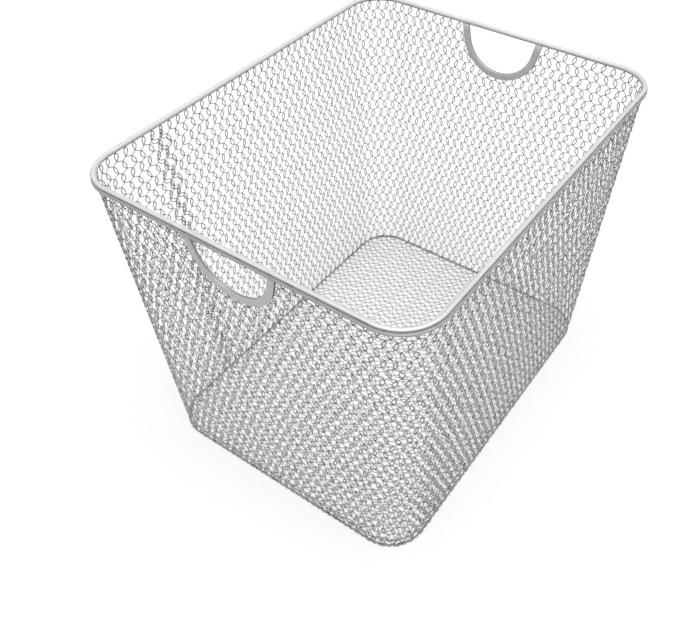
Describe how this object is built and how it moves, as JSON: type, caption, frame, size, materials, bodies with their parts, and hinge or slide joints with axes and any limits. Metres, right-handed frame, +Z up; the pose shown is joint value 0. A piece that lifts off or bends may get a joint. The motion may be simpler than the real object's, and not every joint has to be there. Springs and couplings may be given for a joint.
{
  "type": "wire locker basket",
  "caption": "Open tapered storage basket of steel wire netting with a rolled rim band and D-shaped hand holes under the rim at its short ends.",
  "frame": {"origin": "middle of the footprint, on the plane that the basket stands on", "axes": "+Z up, Y along the long side, X along the short side; the front short wall faces -Y"},
  "size_m": [0.3048, 0.381, 0.2921],
  "materials": {
    "rim_steel": "smooth rolled strip, satin silver",
    "net_steel": "silver wire netting, satin",
    "trim_steel": "folded strip, satin grey"
  },
  "bodies": {
    "root": {"rim_band": "rim_steel", "rim_hoop_wire": "net_steel", "front_wall_net": "net_steel", "rear_wall_net": "net_steel", "left_wall_net": "net_steel", "right_wall_net": "net_steel", "front_left_corner_net": "net_steel", "front_right_corner_net": "net_steel", "rear_left_corner_net": "net_steel", "rear_right_corner_net": "net_steel", "front_hand_net": "net_steel", "rear_hand_net": "net_steel", "seam_net": "net_steel", "floor_net": "net_steel", "floor_edge_net": "net_steel", "front_handle_trim": "trim_steel", "rear_handle_trim": "trim_steel"}
  },
  "joints": []
}
